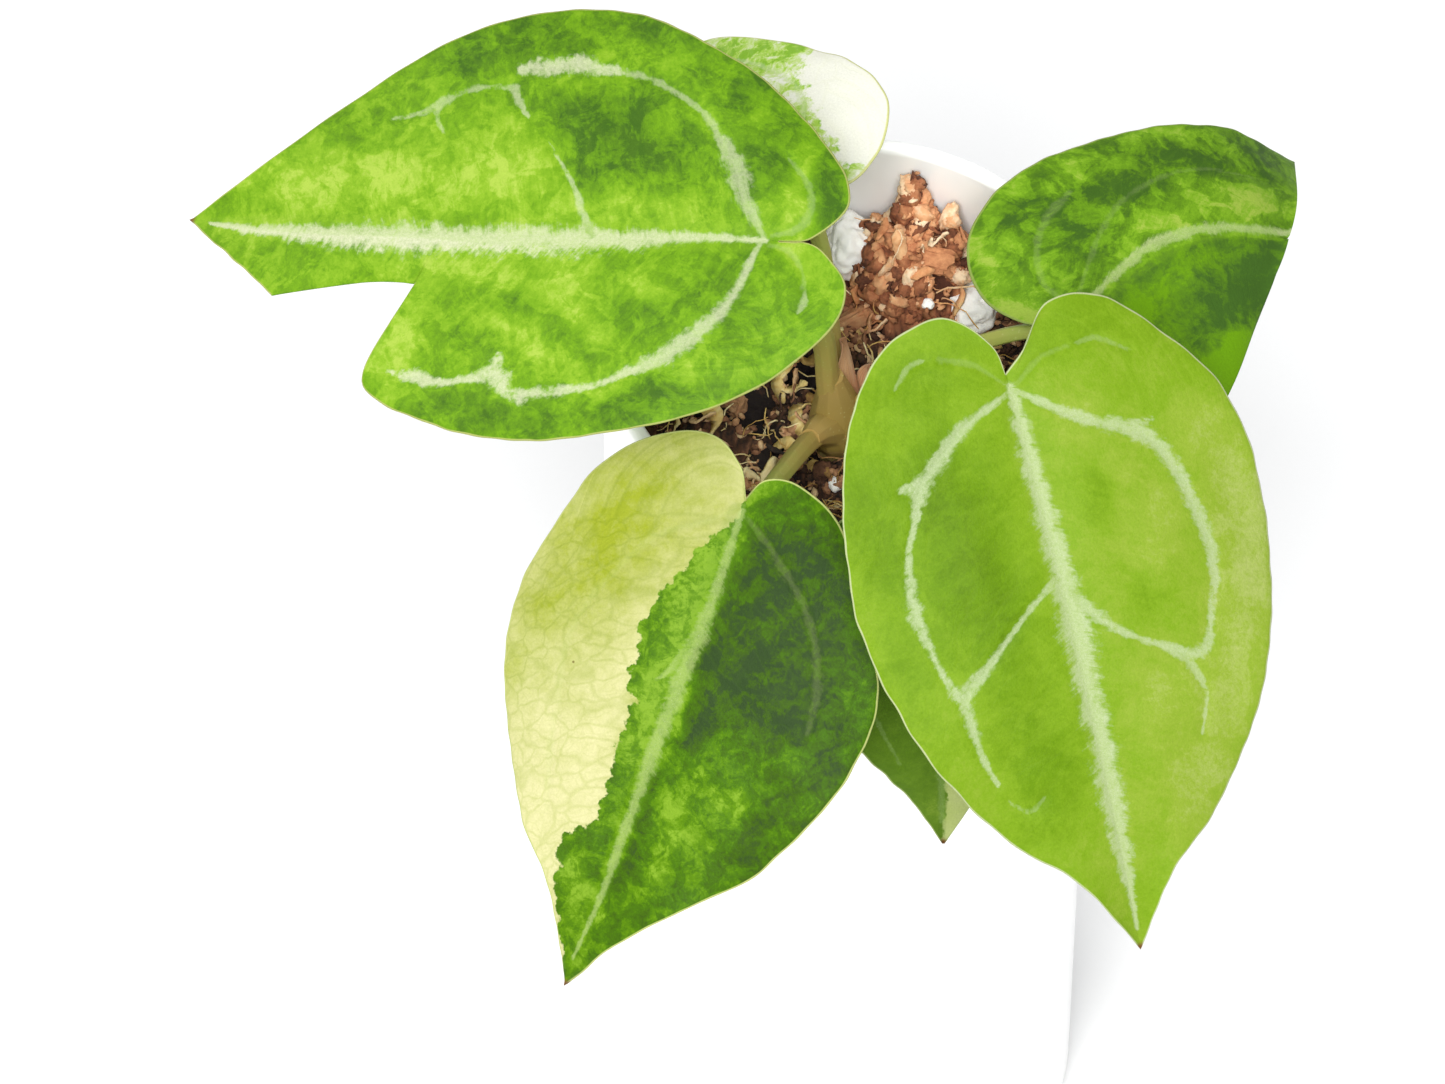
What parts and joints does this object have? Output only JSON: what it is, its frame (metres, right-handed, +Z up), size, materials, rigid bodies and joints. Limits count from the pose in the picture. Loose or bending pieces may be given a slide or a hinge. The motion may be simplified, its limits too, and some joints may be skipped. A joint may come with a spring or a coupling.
{
  "type": "potted variegated anthurium plant",
  "caption": "Young anthurium with heart-shaped marbled leaves on round stalks, rooted in a bark mix in a tall plain round pot.",
  "frame": {"origin": "centre of the pot's underside, on the surface it stands on", "axes": "+Z up along the pot's axis, -Y towards the side that the plant shows best, +X to the right seen from there"},
  "size_m": [0.2214, 0.1979, 0.3182],
  "materials": {
    "pot_glaze": "plain white satin glaze",
    "bark_mix": "rough reddish tan bark and coir fibre",
    "stem_bark": "matt olive brown stem with ring scars",
    "leaf_left": "marbled green leaf with silver veins, soft satin",
    "leaf_back": "green and cream marbled leaf, soft satin",
    "leaf_right": "marbled mid and dark green leaf, soft satin",
    "leaf_front_right": "new light green velvety leaf with silver veins",
    "leaf_front_left": "half cream and half dark green leaf, soft satin",
    "leaf_low": "old dark olive green leaf with pale stripes",
    "papery_sheath": "dry papery peach brown",
    "perlite": "matt white porous grains"
  },
  "bodies": {
    "root": {"pot": "pot_glaze", "growing_medium": "bark_mix", "stem": "stem_bark", "leaf_left": "leaf_left", "leaf_back": "leaf_back", "leaf_right": "leaf_right", "leaf_front_right": "leaf_front_right", "leaf_front_left": "leaf_front_left", "leaf_low": "leaf_low", "sheath_tall": "papery_sheath", "sheath_short": "papery_sheath", "perlite_1": "perlite", "perlite_2": "perlite", "perlite_3": "perlite", "perlite_4": "perlite"}
  },
  "joints": []
}
